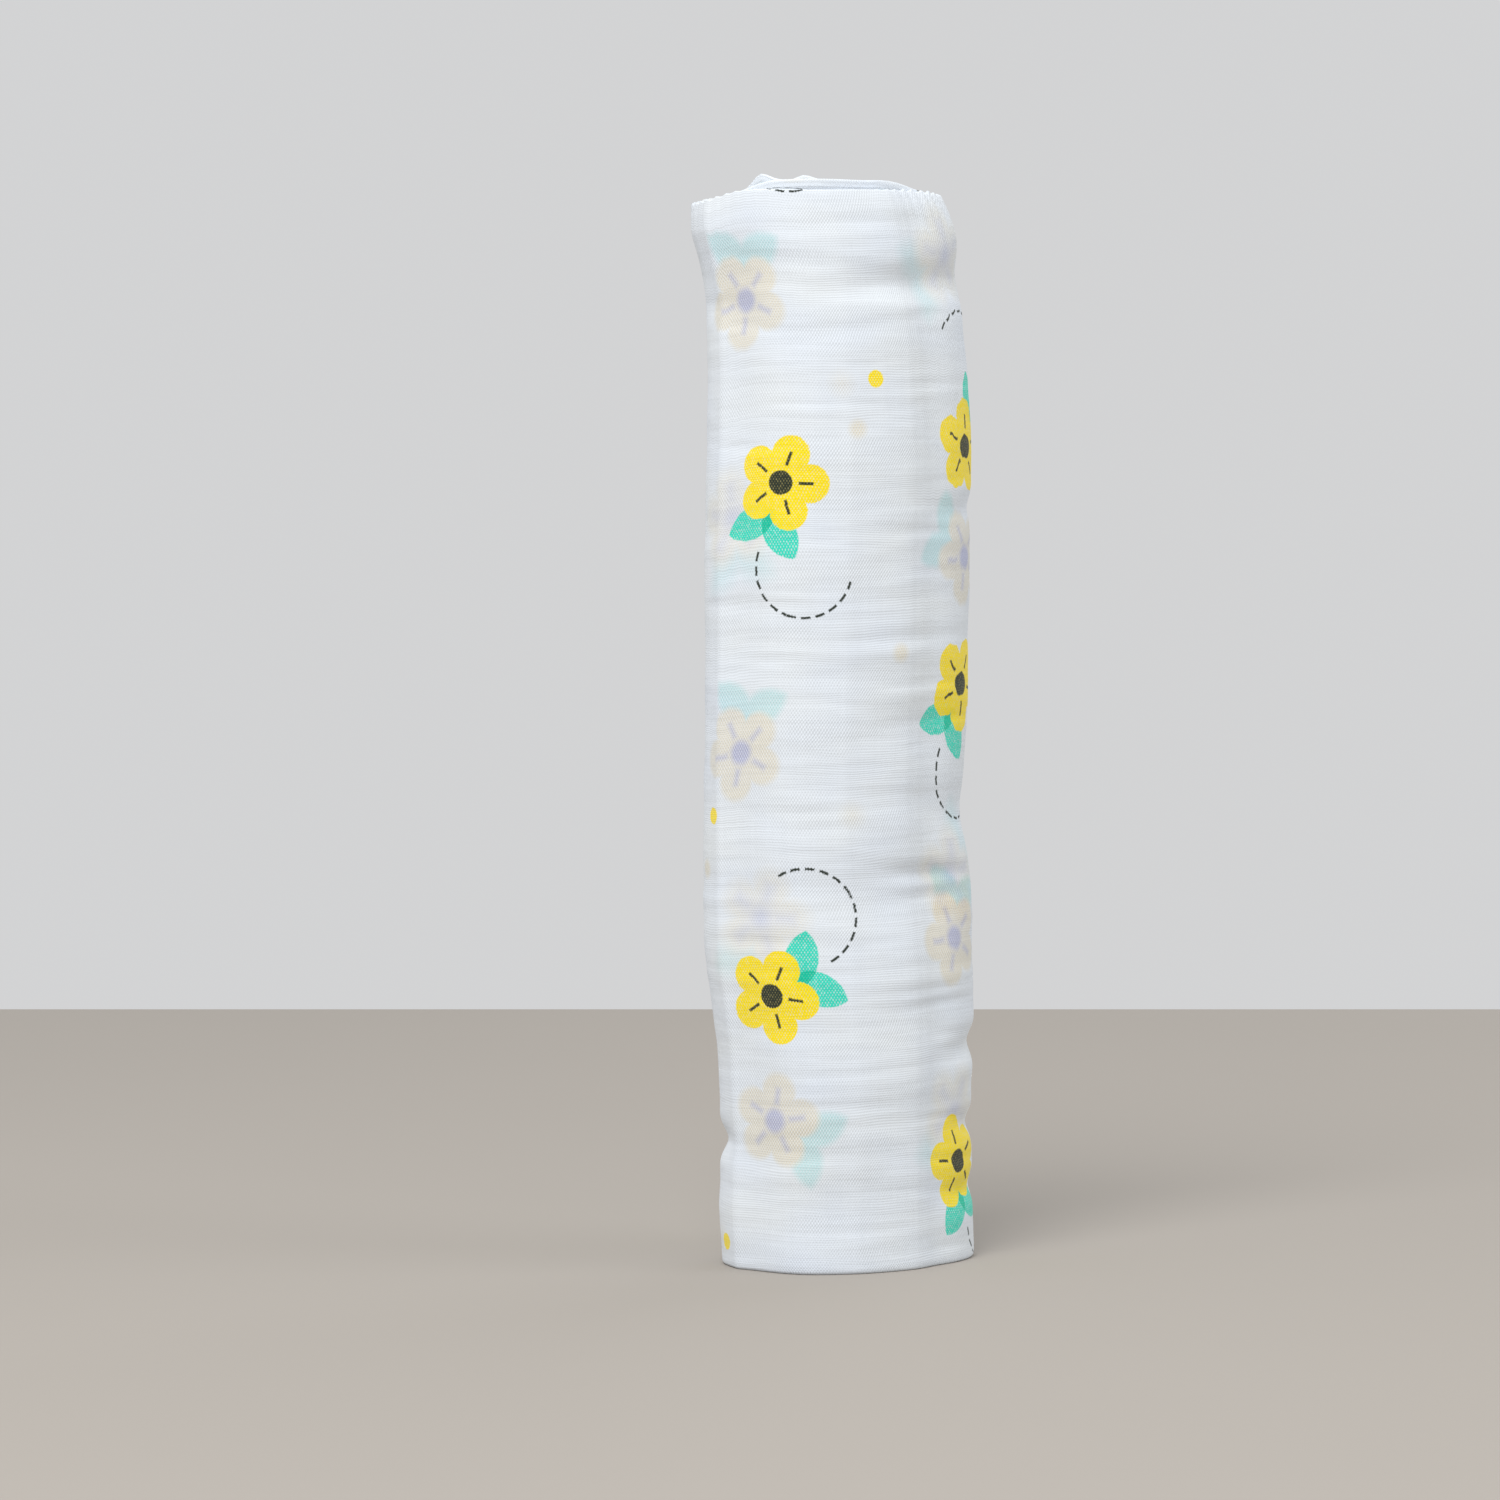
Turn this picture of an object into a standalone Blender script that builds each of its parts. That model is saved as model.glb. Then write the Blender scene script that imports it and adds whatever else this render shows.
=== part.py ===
"""A muslin swaddle blanket, folded in four lengthwise, rolled up and stood on one end.

Metres, +Z up. The roll stands on the plane z = 0, its middle over the origin, its front towards -Y.
A bearing is an angle round the upright roll, in degrees: 0 at the front, 90 at the right (+X),
180 at the back and -90 at the left.
"""

from collections import namedtuple

import bmesh
import bpy
import numpy as np

MM = 0.001

# The cloth, flat
CLOTH_SIDE = 1.200
LAYERS_IN_STRIP = 4

# The roll
ROLL_HEIGHT = CLOTH_SIDE / LAYERS_IN_STRIP
TURNS = 10
CORE_SHARE = 0.12           # the hollow core's width, as a share of the roll's
CORE_DEPTH = 4 * MM
SLEW = 0.20                 # how far the right side is turned back, per unit of width
END_BEARING = 150.0         # where the strip's outer end lies, behind on the right
END_STANDS = 0.3            # the share of the strip's thickness that stands proud there
END_FADE = 0.16             # of a turn, over which the roll recovers from the step at that end
TURN_CREST = 0.9 * MM       # each turn's edge stands this far above the crown, its groove as far below
TURN_WAVE = 0.35 * MM       # how unevenly the inner turns stand
CROWN_START = 1.03          # where the strip leaves the rim for the crown, in turns from its outer end
CROWN_RISE = 0.28           # of a turn, over which it does so
FOOT_ROUNDING = 1.1 * MM

# Fineness of the surface
COLUMNS = 72
ROWS = 48
FIRST_ROW_HEIGHT = 1.2 * MM

# The roll's reach from its axis at each height, in mm
Section = namedtuple("Section", "height left right front back")
SECTIONS = (
    Section(height=0, left=31.0, right=39.5, front=30.0, back=30.0),
    Section(height=14, left=31.6, right=39.4, front=30.2, back=30.2),
    Section(height=34, left=31.1, right=38.9, front=29.9, back=30.4),
    Section(height=50, left=31.5, right=39.0, front=30.1, back=30.5),
    Section(height=72, left=33.8, right=39.6, front=30.4, back=30.3),
    Section(height=85, left=35.7, right=39.4, front=30.4, back=30.1),
    Section(height=100, left=36.0, right=39.2, front=30.1, back=30.0),
    Section(height=126, left=36.0, right=36.2, front=29.6, back=29.8),
    Section(height=158, left=35.9, right=37.8, front=29.8, back=30.2),
    Section(height=196, left=35.8, right=37.8, front=30.0, back=30.4),
    Section(height=236, left=35.4, right=37.9, front=30.2, back=30.3),
    Section(height=258, left=35.4, right=36.2, front=30.2, back=30.0),
    Section(height=274, left=36.6, right=34.2, front=30.0, back=29.8),
    Section(height=285, left=39.4, right=33.8, front=30.1, back=29.6),
    Section(height=294, left=39.2, right=30.4, front=29.6, back=29.0),
    Section(height=300, left=38.4, right=27.4, front=29.0, back=28.4),
)

# Where the section stands out of a plain ellipse (+) or falls flat inside it (-), in degrees and mm
Swell = namedtuple("Swell", "bearing out")
SWELLS = (
    Swell(bearing=-180, out=0.0),
    Swell(bearing=-135, out=0.6),
    Swell(bearing=-90, out=0.0),
    Swell(bearing=-50, out=-1.8),
    Swell(bearing=-20, out=0.6),
    Swell(bearing=5, out=-0.6),
    Swell(bearing=30, out=-1.8),
    Swell(bearing=50, out=-3.6),
    Swell(bearing=70, out=-2.0),
    Swell(bearing=90, out=0.0),
    Swell(bearing=130, out=0.8),
)

# Creases that were pressed in while the cloth lay folded: a ridge at a bearing, in degrees and mm
Crease = namedtuple("Crease", "bearing rise width")
CREASES = (
    Crease(bearing=-65, rise=1.3, width=9),
    Crease(bearing=5, rise=0.6, width=12),
    Crease(bearing=35, rise=0.4, width=8),
    Crease(bearing=-135, rise=0.8, width=12),
    Crease(bearing=115, rise=0.6, width=12),
)

# Soft troughs across the wall. Height, reach (half the trough's height), depth and tilt (its rise
# over half its length) are in mm, bearing and span (half its length) in degrees.
Fold = namedtuple("Fold", "height bearing span reach depth tilt")
FOLDS = (
    Fold(height=271, bearing=50, span=72, reach=6.5, depth=2.0, tilt=3.0),
    Fold(height=264, bearing=-60, span=40, reach=5.5, depth=0.7, tilt=-1.5),
    Fold(height=209, bearing=84, span=50, reach=5.0, depth=1.1, tilt=1.5),
    Fold(height=183, bearing=-52, span=48, reach=5.0, depth=0.3, tilt=0.5),
    Fold(height=164, bearing=26, span=66, reach=5.0, depth=0.5, tilt=1.0),
    Fold(height=124, bearing=82, span=56, reach=9.0, depth=1.0, tilt=-2.5),
    Fold(height=87, bearing=22, span=60, reach=5.5, depth=0.45, tilt=2.0),
    Fold(height=60, bearing=86, span=46, reach=5.0, depth=2.0, tilt=2.0),
    Fold(height=38, bearing=88, span=44, reach=4.5, depth=1.7, tilt=-1.0),
    Fold(height=35, bearing=-93, span=42, reach=5.0, depth=1.9, tilt=1.5),
    Fold(height=33, bearing=-28, span=40, reach=5.0, depth=0.4, tilt=2.5),
    Fold(height=20, bearing=84, span=48, reach=4.5, depth=1.2, tilt=1.5),
    Fold(height=252, bearing=178, span=56, reach=6.5, depth=1.2, tilt=-3.0),
    Fold(height=196, bearing=-132, span=48, reach=6.0, depth=0.9, tilt=2.5),
    Fold(height=118, bearing=172, span=58, reach=7.0, depth=1.1, tilt=-2.5),
    Fold(height=64, bearing=-150, span=52, reach=6.0, depth=1.0, tilt=3.0),
)

# The upper edge of the outermost turn, in degrees and mm
Rim = namedtuple("Rim", "bearing height")
RIM = (
    Rim(bearing=-180, height=296.0),
    Rim(bearing=-125, height=294.8),
    Rim(bearing=-88, height=292.2),
    Rim(bearing=-66, height=293.0),
    Rim(bearing=-45, height=295.2),
    Rim(bearing=0, height=295.7),
    Rim(bearing=50, height=296.0),
    Rim(bearing=78, height=295.4),
    Rim(bearing=120, height=295.6),
)

# How high the inner turns stand, by their place across the roll, in mm
Crown = namedtuple("Crown", "across height")
CROWN = (
    Crown(across=-40, height=292.8),
    Crown(across=-32, height=294.2),
    Crown(across=-27, height=295.4),
    Crown(across=-19, height=298.1),
    Crown(across=-12, height=298.6),
    Crown(across=8, height=298.6),
    Crown(across=18, height=298.4),
    Crown(across=23, height=296.7),
    Crown(across=38, height=296.0),
)

# The cloth's finish
CLOTH_NAME = "muslin"
CLOTH_COLOUR = (0.86, 0.87, 0.90, 1.0)
CLOTH_ROUGHNESS = 0.92


def clear_scene():
    for thing in list(bpy.data.objects):
        bpy.data.objects.remove(thing, do_unlink=True)


def column(rows, name):
    return np.array([getattr(row, name) for row in rows], float)


def smooth_through(at, knots, values):
    """A smooth curve through the knots: cubic pieces whose slopes are the knots' mean slopes."""
    slopes = np.gradient(values, knots)
    k = np.clip(np.searchsorted(knots, at, side="right") - 1, 0, len(knots) - 2)
    gap = knots[k + 1] - knots[k]
    t = np.clip((at - knots[k]) / gap, 0.0, 1.0)
    from_start = (1 + 2 * t) * (1 - t) ** 2 * values[k] + t * (1 - t) ** 2 * gap * slopes[k]
    from_end = t * t * (3 - 2 * t) * values[k + 1] - t * t * (1 - t) * gap * slopes[k + 1]
    return from_start + from_end


def turned_from(bearing, middle):
    """The angle from middle to bearing, between -180 and 180."""
    return (bearing - middle + 180.0) % 360.0 - 180.0


def round_the_roll(bearing, rows, name):
    """A table's value at a bearing, in metres: smooth, and the same after a whole turn."""
    around = column(rows, "bearing")
    knots = np.concatenate([around - 360.0, around, around + 360.0])
    return smooth_through(turned_from(bearing, 0.0), knots, np.tile(column(rows, name), 3)) * MM


def rim_height(bearing):
    """The height of the outermost turn's upper edge."""
    return round_the_roll(bearing, RIM, "height")


def pressed_creases(bearing):
    """How far the pressed creases stand out: each is a ridge that falls away on both sides."""
    out = np.zeros_like(bearing)
    for crease in CREASES:
        out += crease.rise * np.exp(-np.abs(turned_from(bearing, crease.bearing)) / crease.width)
    return out * MM


def folds(height, bearing):
    """How far the soft folds move the wall: each is a trough with a low shoulder on both sides."""
    out = np.zeros(np.broadcast(height, bearing).shape)
    for fold in FOLDS:
        along = turned_from(bearing, fold.bearing) / fold.span
        fade = np.where(np.abs(along) < 1.0, np.cos(along * np.pi / 2) ** 2, 0.0)
        across = (height / MM - fold.height - fold.tilt * along) / fold.reach
        out -= fold.depth * fade * (1.0 - 0.8 * across**2) * np.exp(-(across**2))
    return out * MM


def section_at(height):
    """The section at a height: its middle's x and y, half its width and half its depth."""
    knots = column(SECTIONS, "height") * MM
    sides = [smooth_through(height, knots, column(SECTIONS, name) * MM) for name in Section._fields[1:]]
    left, right, front, back = sides
    return (right - left) / 2, (back - front) / 2, (right + left) / 2, (back + front) / 2


def wall(height, bearing, inset):
    """A point of the roll's wall, or of a turn inside it.

    The section is an ellipse with the table's reaches, turned back on the right. Its swells, creases
    and folds are added outwards. inset is the share by which a turn is smaller.
    """
    middle_x, middle_y, half_width, half_depth = section_at(height)
    sine = np.sin(np.radians(bearing))
    cosine = np.cos(np.radians(bearing))
    relief = round_the_roll(bearing, SWELLS, "out") + pressed_creases(bearing) + folds(height, bearing)
    across = (half_width + relief) * sine
    toward = (half_depth + relief) * cosine
    x = middle_x + across * (1 - inset)
    y = middle_y - (toward - SLEW * across) * (1 - inset)
    return x, y


def end_step(turned):
    """The step at the outer end, in turns: proud at the end, level round most of the roll, sunk under it."""
    under = (1 - END_STANDS) * np.exp(-(1 - turned) / END_FADE)
    return under - END_STANDS * np.exp(-turned / END_FADE)


def turn_inset(turn, turned):
    """The share by which the roll is smaller at a turn, counted inwards and turned that far on."""
    spiral = turned - END_STANDS
    share_of_spiral = np.clip(turn / 2, 0.0, 1.0)
    winding = turn + share_of_spiral * spiral + (1 - share_of_spiral) * end_step(turned)
    return winding * (1 - CORE_SHARE) / TURNS


def side_points(turned, bearing):
    """The wall from the foot to the rim, row by row: its foot is drawn in a little, to round it."""
    rows = np.concatenate([[0.0], np.linspace(FIRST_ROW_HEIGHT / ROLL_HEIGHT, 1.0, ROWS - 1)])
    heights = rows[:, None] * rim_height(bearing)[None, :]
    half_depth = section_at(heights)[3]
    rounding = np.where(rows == 0.0, FOOT_ROUNDING, 0.0)[:, None] / half_depth
    inset = turn_inset(np.zeros_like(heights), turned[None, :]) + rounding
    x, y = wall(heights, bearing[None, :], inset)
    return np.stack([x, y, heights], axis=-1)


def end_points(turned, bearing):
    """The wound end, ring by ring inwards: crests and grooves by turns, two rings to a turn.

    The outermost turn follows the rim. Further in, the turns rise to the crown's height, which goes by
    their place across the roll. A crest follows its own turn, and a groove the turn outside it.
    """
    rings = np.arange(1, 2 * TURNS - 1)
    is_crest = (rings % 2 == 1)[:, None]
    turn = rings[:, None] / 2 + 0 * turned[None, :]
    top_middle = np.full_like(turn, ROLL_HEIGHT)
    x, y = wall(top_middle, bearing[None, :], turn_inset(turn, turned[None, :]))
    rim = rim_height(bearing)[None, :]
    rim_x, rim_y = wall(rim + 0 * turn, bearing[None, :], turn_inset(turn, turned[None, :]))
    share = np.clip(turn / 2, 0.0, 1.0)

    crown = smooth_through(x, column(CROWN, "across") * MM, column(CROWN, "height") * MM)
    crown = crown + TURN_WAVE * np.sin(2.3 * (turn + turned[None, :]) + np.radians(bearing)[None, :])
    from_outer_end = turned[None, :] + turn - np.where(is_crest, 0.5, 1.0)
    rise = np.clip((from_outer_end - CROWN_START) / CROWN_RISE, 0.0, 1.0)
    rise = rise * rise * (3 - 2 * rise)
    heights = rim + (crown - rim) * rise + np.where(is_crest, TURN_CREST, -TURN_CREST)
    return np.stack([rim_x + (x - rim_x) * share, rim_y + (y - rim_y) * share, heights], axis=-1)


def build_roll():
    """One closed surface: the wall, the wound end with its hollow core, and the flat foot.

    Every ring has one point more than it has columns. On the wall the last column lies under the
    strip's outer end, one turn in, so a narrow face closes the step between them. On the wound end
    the last point of a ring is the first point of the next ring but one, which makes the spiral.
    """
    turned = np.linspace(0.0, 1.0, COLUMNS + 1)
    bearing = END_BEARING + 360.0 * turned
    side = side_points(turned, bearing)
    end = np.concatenate([side[-1:], end_points(turned, bearing)])

    mesh = bmesh.new()
    side_verts = [[mesh.verts.new(point) for point in row] for row in side]
    end_verts = [list(side_verts[-1])]
    end_verts += [[mesh.verts.new(point) for point in ring[:-1]] for ring in end[1:]]
    last = len(end) - 1
    closing = {ring: mesh.verts.new(end[ring][-1]) for ring in (last - 1, last)}
    for ring in range(1, last + 1):
        end_verts[ring].append(closing[ring] if ring in closing else end_verts[ring + 2][0])

    # The rim's last point stands one turn in, so it is also the second groove's first point
    joined = side_verts[-1][-1]
    doubled = end_verts[2][0]
    end_verts[2][0] = joined
    mesh.verts.remove(doubled)

    for rows in (side_verts, end_verts):
        for lower, upper in zip(rows[:-1], rows[1:]):
            for i in range(COLUMNS):
                mesh.faces.new((lower[i], lower[i + 1], upper[i + 1], upper[i]))

    # The strip's outer end, a narrow upright face
    for lower, upper in zip(side_verts[:-1], side_verts[1:]):
        mesh.faces.new((lower[-1], lower[0], upper[0], upper[-1]))
    mesh.faces.new((side_verts[-1][0], end_verts[1][0], joined))

    # The hollow core, a blind pit inside the innermost turn
    brink = end_verts[last] + [end_verts[last - 1][-1]]
    pit = [mesh.verts.new((v.co.x, v.co.y, ROLL_HEIGHT - CORE_DEPTH)) for v in brink]
    for i in range(len(brink)):
        mesh.faces.new((brink[i - 1], brink[i], pit[i], pit[i - 1]))
    mesh.faces.new(pit)

    # The foot
    mesh.faces.new(list(reversed(side_verts[0])))

    bmesh.ops.triangulate(mesh, faces=mesh.faces[:])
    bmesh.ops.recalc_face_normals(mesh, faces=mesh.faces[:])
    low = [min(v.co[axis] for v in mesh.verts) for axis in range(3)]
    high = [max(v.co[axis] for v in mesh.verts) for axis in range(3)]
    off_centre = (-(low[0] + high[0]) / 2, -(low[1] + high[1]) / 2, -low[2])
    bmesh.ops.translate(mesh, verts=mesh.verts[:], vec=off_centre)
    return mesh


def cloth_material():
    material = bpy.data.materials.new(CLOTH_NAME)
    material.use_nodes = True
    shader = material.node_tree.nodes["Principled BSDF"]
    shader.inputs["Base Color"].default_value = CLOTH_COLOUR
    shader.inputs["Roughness"].default_value = CLOTH_ROUGHNESS
    shader.inputs["Metallic"].default_value = 0.0
    material.diffuse_color = CLOTH_COLOUR
    return material


def add_blanket_roll():
    shape = build_roll()
    data = bpy.data.meshes.new("blanket_roll")
    shape.to_mesh(data)
    shape.free()
    data.materials.append(cloth_material())
    data.shade_smooth()
    data.set_sharp_from_angle(angle=np.radians(40.0))
    roll = bpy.data.objects.new("blanket_roll", data)
    bpy.context.scene.collection.objects.link(roll)
    return roll


clear_scene()
add_blanket_roll()
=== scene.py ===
"""The finished look of a muslin swaddle blanket, rolled up and stood on one end.

One square of double gauze is folded in four lengthwise and wound into a roll. It is built here as one
thin sheet: a fine surface for the panel that shows round the outside, and a coarser one for the folded
strip behind it, which shows its folds and hems at both ends.

Metres, +Z up, front towards -Y. A bearing is an angle round the upright roll, in degrees: 0 at the
front, 90 at the right (+X), 180 at the back and -90 at the left.
"""
from collections import namedtuple

import bpy
import numpy as np
from bpy.props import FloatProperty, FloatVectorProperty, IntProperty, PointerProperty
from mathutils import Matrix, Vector


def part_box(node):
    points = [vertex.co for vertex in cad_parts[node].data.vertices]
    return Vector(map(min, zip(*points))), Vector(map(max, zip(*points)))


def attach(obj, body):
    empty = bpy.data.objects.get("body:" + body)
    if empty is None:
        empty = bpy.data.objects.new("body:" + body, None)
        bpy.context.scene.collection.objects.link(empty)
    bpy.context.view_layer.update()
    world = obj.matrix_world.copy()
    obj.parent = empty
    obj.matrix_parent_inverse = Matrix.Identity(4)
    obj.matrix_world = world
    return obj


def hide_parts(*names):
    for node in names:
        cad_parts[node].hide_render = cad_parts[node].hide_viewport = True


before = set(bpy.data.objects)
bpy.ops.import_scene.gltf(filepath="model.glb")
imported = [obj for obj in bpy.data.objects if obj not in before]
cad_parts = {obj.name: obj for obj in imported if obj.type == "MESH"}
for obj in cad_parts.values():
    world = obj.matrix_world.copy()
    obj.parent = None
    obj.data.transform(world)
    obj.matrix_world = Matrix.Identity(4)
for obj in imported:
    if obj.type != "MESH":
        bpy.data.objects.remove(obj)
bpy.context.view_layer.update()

bl_info = {
    "name": "Rolled muslin blanket",
    "version": (1, 0, 0),
    "blender": (4, 5, 0),
    "location": "3D View > Sidebar > Muslin",
    "description": "Builds a rolled swaddle blanket of printed double gauze and a plain studio for it",
    "category": "Object",
}

MM = 0.001
NODE = "blanket_roll"
BODY = "root"
CLOTH_MAP = "cloth"


def table(names, *rows):
    """Rows of values that are called by the names of their columns."""
    row_kind = namedtuple("Row", names)
    return [row_kind(*row) for row in rows]


# The roll's reach from its axis at each height, in mm
SECTIONS = table(
    "height left right front back",
    (0, 31.0, 39.5, 30.0, 30.0),
    (14, 31.6, 39.4, 30.2, 30.2),
    (34, 31.1, 38.9, 29.9, 30.4),
    (50, 31.5, 39.0, 30.1, 30.5),
    (72, 33.8, 39.6, 30.4, 30.3),
    (85, 35.7, 39.4, 30.4, 30.1),
    (100, 36.0, 39.2, 30.1, 30.0),
    (126, 36.0, 36.2, 29.6, 29.8),
    (158, 35.9, 37.8, 29.8, 30.2),
    (196, 35.8, 37.8, 30.0, 30.4),
    (236, 35.4, 37.9, 30.2, 30.3),
    (258, 35.4, 36.2, 30.2, 30.0),
    (274, 36.6, 34.2, 30.0, 29.8),
    (285, 39.4, 33.8, 30.1, 29.6),
    (294, 39.2, 30.4, 29.6, 29.0),
    (300, 38.4, 27.4, 29.0, 28.4),
)

# Where the section stands out of a plain ellipse (+) or falls flat inside it (-), in degrees and mm
SWELLS = table(
    "bearing out",
    (-180, 0.0),
    (-135, 0.6),
    (-90, 0.0),
    (-50, -1.8),
    (-20, 0.6),
    (5, -0.6),
    (30, -1.8),
    (50, -3.6),
    (70, -2.0),
    (90, 0.0),
    (130, 0.8),
)

# Creases that were pressed in while the cloth lay folded: a ridge at a bearing, in degrees and mm
CREASE = "bearing rise width"
CREASES = table(
    CREASE,
    (-65, 1.3, 9),
    (5, 0.6, 12),
    (35, 0.4, 8),
    (-135, 0.8, 12),
    (115, 0.6, 12),
)

# Soft troughs across the wall. Height, reach (half the trough's height), depth and tilt (its rise
# over half its length) are in mm, bearing and span (half its length) in degrees.
FOLD = "height bearing span reach depth tilt"
FOLDS = table(
    FOLD,
    (271, 50, 72, 6.5, 2.0, 3.0),
    (264, -60, 40, 5.5, 0.7, -1.5),
    (209, 84, 50, 5.0, 1.1, 1.5),
    (183, -52, 48, 5.0, 0.3, 0.5),
    (164, 26, 66, 5.0, 0.5, 1.0),
    (124, 82, 56, 9.0, 1.0, -2.5),
    (87, 22, 60, 5.5, 0.45, 2.0),
    (60, 86, 46, 5.0, 2.0, 2.0),
    (38, 88, 44, 4.5, 1.7, -1.0),
    (35, -93, 42, 5.0, 1.9, 1.5),
    (33, -28, 40, 5.0, 0.4, 2.5),
    (20, 84, 48, 4.5, 1.2, 1.5),
    (252, 178, 56, 6.5, 1.2, -3.0),
    (196, -132, 48, 6.0, 0.9, 2.5),
    (118, 172, 58, 7.0, 1.1, -2.5),
    (64, -150, 52, 6.0, 1.0, 3.0),
)

# Creases and low swells of the outside panel alone, in the same terms. A negative depth is a ridge.
THIN_CREASES = table(
    FOLD,
    (284, 46, 34, 7.0, 0.60, 0.0),
    (260, 30, 56, 4.0, 0.34, 2.0),
    (150, 46, 56, 12.0, 1.10, 0.0),
    (103, 32, 62, 14.0, 1.90, -1.0),
    (86, 25, 70, 5.5, -0.50, 0.0),
    (70, 45, 60, 8.0, 0.50, 0.0),
    (53, 20, 64, 8.0, -0.50, 0.0),
    (17, -12, 62, 12.0, 0.90, 0.0),
    (287, 20, 60, 2.2, 0.20, 1.0),
    (278, -40, 50, 1.6, 0.20, -1.5),
    (271, 42, 56, 4.0, 0.36, 2.5),
    (262, 48, 46, 1.9, 0.36, 2.0),
    (259, -50, 40, 2.2, 0.30, -2.0),
    (243, 52, 50, 1.8, 0.27, 1.5),
    (238, 10, 60, 1.6, 0.16, -0.5),
    (226, -50, 50, 1.8, 0.22, -1.0),
    (217, 60, 50, 1.6, 0.15, 1.0),
    (203, 56, 60, 1.7, 0.30, 0.5),
    (192, 60, 42, 1.8, 0.08, -0.5),
    (183, -30, 70, 1.3, 0.12, 0.0),
    (174, 36, 56, 2.8, 0.55, 0.8),
    (168, -15, 72, 1.4, 0.16, -0.6),
    (161, 46, 50, 1.8, 0.36, 0.6),
    (151, 58, 48, 1.6, 0.22, 0.6),
    (131, 40, 60, 1.8, 0.22, -1.0),
    (127, 0, 64, 1.6, 0.18, 1.5),
    (109, 52, 50, 3.4, 1.40, -1.2),
    (103, 54, 48, 3.0, 0.75, 1.0),
    (97, -50, 46, 1.6, 0.14, 0.6),
    (91, -40, 50, 1.5, 0.24, 0.6),
    (83, 10, 60, 1.5, 0.20, 0.8),
    (77, 44, 54, 1.8, 0.42, 0.6),
    (73, 50, 50, 1.7, 0.52, 1.0),
    (64, 70, 36, 1.7, 0.35, -0.6),
    (55, 10, 60, 1.6, 0.22, 1.2),
    (46, -10, 70, 1.6, 0.22, 1.0),
    (41, 56, 46, 1.7, 0.34, -1.0),
    (37, -32, 36, 1.5, 0.16, 2.2),
    (31, -22, 34, 1.4, 0.25, 3.0),
    (29, 66, 40, 1.7, 0.40, -1.0),
    (21, 50, 46, 1.5, 0.30, -1.0),
    (12, 10, 60, 1.5, 0.16, 0.6),
    (5, 60, 40, 1.5, 0.22, 0.5),
)

# Sharp lines along the pressed creases, on the outside panel alone, in degrees and mm
PRESSED_LINES = table(
    CREASE,
    (-65, 0.09, 2.2),
    (-33, 0.08, 2.0),
    (3, 0.16, 2.0),
    (42, 0.16, 2.2),
    (-135, 0.20, 2.4),
    (115, 0.20, 2.4),
)

# The upper edge of the outermost turn, in degrees and mm
RIM = table(
    "bearing height",
    (-180, 296.0),
    (-125, 294.8),
    (-88, 292.2),
    (-66, 293.0),
    (-45, 295.2),
    (0, 295.7),
    (50, 296.0),
    (78, 295.4),
    (120, 295.6),
)

# Unevenness of the outside panel: the length of a ripple round the roll and up it, and its height, in mm
RIPPLES = table(
    "round up out seed",
    (62, 24, 0.24, 11),
    (38, 5.6, 0.09, 12),
    (22, 3.1, 0.035, 13),
    (6, 46, 0.05, 14),
)

# Gathers that pucker the rim's fold: where they are, in degrees, and how strong, in mm
GATHERS = table(
    "bearing span out",
    (-80, 30, 0.40),
    (-30, 28, 0.08),
    (66, 26, 0.60),
    (-170, 60, 0.20),
)
GATHER_PITCH = 3.8 * MM
GATHER_WANDER = 2.25        # how far their ripples stray from even steps, in radians
GATHER_DRIFT = 4.1          # ripples in which the sine by which they do turns by one radian
GATHER_LIFT = 1.5           # how far they lift the rim, a share of how far they stand out
GATHER_FADE = 4.5 * MM      # how far the gathers run down the wall

# How high the inner turns' folds stand, by their place across the roll, in mm
CROWN = table(
    "across height",
    (-40, 292.8),
    (-32, 294.2),
    (-27, 295.4),
    (-19, 298.1),
    (-12, 298.6),
    (8, 298.6),
    (18, 298.4),
    (23, 296.7),
    (38, 296.0),
)
CROWN_FROM = 1.03           # the turn from which the table takes the place of the rim's
CROWN_EASE = 0.28           # turns that this takes
UNEVEN_FROM = 1.7           # the turn from which the crown sinks and waves
UNEVEN_EASE = 0.8           # turns in which the waves grow to their height
CROWN_SINKS = 0.22          # how much lower each turn lies than the last, in mm
SINKING_TURNS = 3.0
CROWN_WAVES = 0.32          # how unevenly the turns lie, in mm

# Cloth edges that stand up a little inside the roll: turn, degrees and mm
PEAKS = table(
    "turn bearing width rise",
    (2.48, -36, 9, 2.7),
    (3.57, -8, 7, 1.3),
    (6.1, 10, 16, 0.9),
    (4.3, -102, 14, 1.1),
    (5.0, 150, 20, 0.8),
)
PEAK_REACH = 0.4            # of a turn, how far a peak lifts its neighbours
PEAK_COLUMNS = 0.012        # the share of the strip's columns that are drawn together at each peak
PEAK_SPREAD = 8.0           # times a peak's width, the stretch over which they are

# Where the outer end lies, and how the roll closes over it
END_BEARING = 150.0
END_STANDS = 0.3            # the share of the strip's thickness that stands proud there
END_FADE = 0.16             # of a turn, over which the roll recovers from the step at that end
SLEW = 0.20                 # how far the right side is turned back, per unit of width
FOOT_ROUNDING = 1.1 * MM

# How far the outer end strays round the roll: two waves up it, in mm, and how far in they fade
END_WAVES = table(
    "out length start",
    (0.9, 210, 1.0),
    (0.45, 74, 4.0),
)
END_WAVES_FADE = 26 * MM

# The ruffled face of the outer end: how far its bulges stand out and how far back each of its four
# layers lies, in mm, and how deep it reaches, in turns
FACE_BULGE = 0.55
FACE_STAGGER = np.array([0.0, 0.225, -0.125, 0.175])
FACE_REACH = 0.80

# The four panels' places in the strip, in turns from its outside. The fold over the rim is puffed.
OUTSIDE = 0.0
BEHIND = 0.25
MIDDLE = 0.50
INSIDE = 0.75
PUFF = 0.30

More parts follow.
